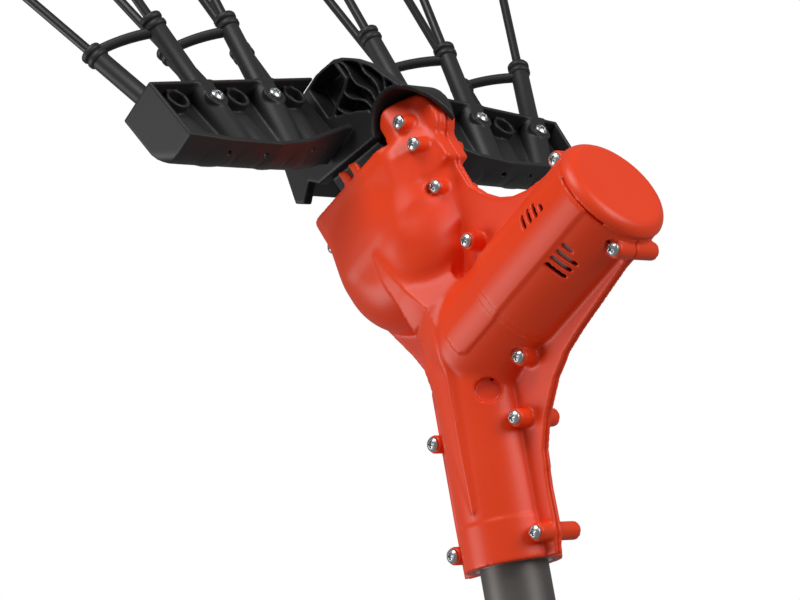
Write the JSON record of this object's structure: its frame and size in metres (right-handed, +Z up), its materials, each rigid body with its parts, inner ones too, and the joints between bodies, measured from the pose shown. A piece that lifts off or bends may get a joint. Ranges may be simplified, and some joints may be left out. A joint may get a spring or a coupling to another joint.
{
  "type": "electric olive harvester head",
  "caption": "Pole-mounted electric olive harvester head: a geared motor in a two-half housing rocks a comb of carbon tines to and fro to shake olives off the branches.",
  "frame": {"origin": "centre of the lower end of the pole stub", "axes": "+Z up the pole, front half of the housing faces -Y, motor towards +X, comb leans towards -X"},
  "size_m": [0.3684, 0.4895, 0.6686],
  "materials": {
    "orange_plastic": "fine moulded grain",
    "zinc_steel": "zinc plated",
    "dark_anodised": "satin",
    "lead_rubber": "matt",
    "black_plastic": "fine moulded grain",
    "carbon_rod": "satin pultruded rod",
    "bronze": "plain",
    "bright_steel": "turned",
    "dark_iron": "plain",
    "cast_aluminium": "cast"
  },
  "bodies": {
    "housing": {"front_shell": "orange_plastic", "rear_shell": "orange_plastic", "motor_cap": "orange_plastic", "shell_screws": "zinc_steel", "pole_tube": "dark_anodised", "pole_collar": "zinc_steel", "power_lead": "lead_rubber", "pole_connector": "black_plastic", "connector_pins": "bronze", "motor_can": "bright_steel", "motor_magnets": "dark_iron", "brush_plate": "black_plastic", "motor_brushes": "dark_iron", "motor_bushes": "bronze", "crank_bearings": "bright_steel", "rod_guide": "bronze", "guide_block": "black_plastic", "pivot_shaft": "bright_steel"},
    "comb": {"rocker_lever": "cast_aluminium", "pivot_bushes": "bronze", "comb_carrier": "black_plastic", "lever_screws": "zinc_steel", "tine_screws": "zinc_steel", "holder_left_outer": "black_plastic", "holder_left_inner": "black_plastic", "holder_left_single": "black_plastic", "holder_right_outer": "black_plastic", "holder_right_inner": "black_plastic", "holder_right_single": "black_plastic", "tine_left_1": "carbon_rod", "tine_left_2": "carbon_rod", "tine_left_3": "carbon_rod", "tine_left_4": "carbon_rod", "tine_left_5": "carbon_rod", "tine_right_1": "carbon_rod", "tine_right_2": "carbon_rod", "tine_right_3": "carbon_rod", "tine_right_4": "carbon_rod", "tine_right_5": "carbon_rod"},
    "rod": {"push_rod": "bright_steel", "rod_pin": "bright_steel"},
    "crank": {"crown_gear": "bright_steel", "crank_shaft": "bright_steel", "crank_pin": "bright_steel"},
    "roller": {"crank_roller": "bright_steel"},
    "rotor": {"motor_shaft": "bright_steel", "armature_core": "dark_iron", "armature_windings": "bronze", "commutator": "bronze", "motor_pinion": "bright_steel", "cooling_fan": "black_plastic"}
  },
  "joints": [
    {"name": "comb_swing", "type": "hinge", "parent": "housing", "child": "comb", "pos_m": [-0.00661, 0, 0.33426], "axis": [0, 1, 0], "range_deg": [-10, 10]},
    {"name": "rod_slide", "type": "slide", "parent": "housing", "child": "rod", "axis": [-0.4384, 0, 0.8988], "range_m": [-0.0072, 0.0072]},
    {"name": "crank_spin", "type": "hinge", "parent": "housing", "child": "crank", "pos_m": [0.00719, 0, 0.21471], "axis": [0, 1, 0], "range_deg": [-91, 91]},
    {"name": "roller_spin", "type": "hinge", "parent": "crank", "child": "roller", "pos_m": [0.00092, -0.0105, 0.21165], "axis": [0, 1, 0], "range_deg": [-91, 91]},
    {"name": "motor_spin", "type": "hinge", "parent": "housing", "child": "rotor", "pos_m": [0.05393, 0, 0.2375], "axis": [0.8988, 0, 0.4384], "range_deg": [-362, 362]}
  ],
  "couplings": [
    {"joint": "rod_slide", "follows": "comb_swing", "m_per_rad": 0.04},
    {"joint": "crank_spin", "follows": "comb_swing", "ratio": 9},
    {"joint": "roller_spin", "follows": "comb_swing", "ratio": -9},
    {"joint": "motor_spin", "follows": "comb_swing", "ratio": -36}
  ]
}
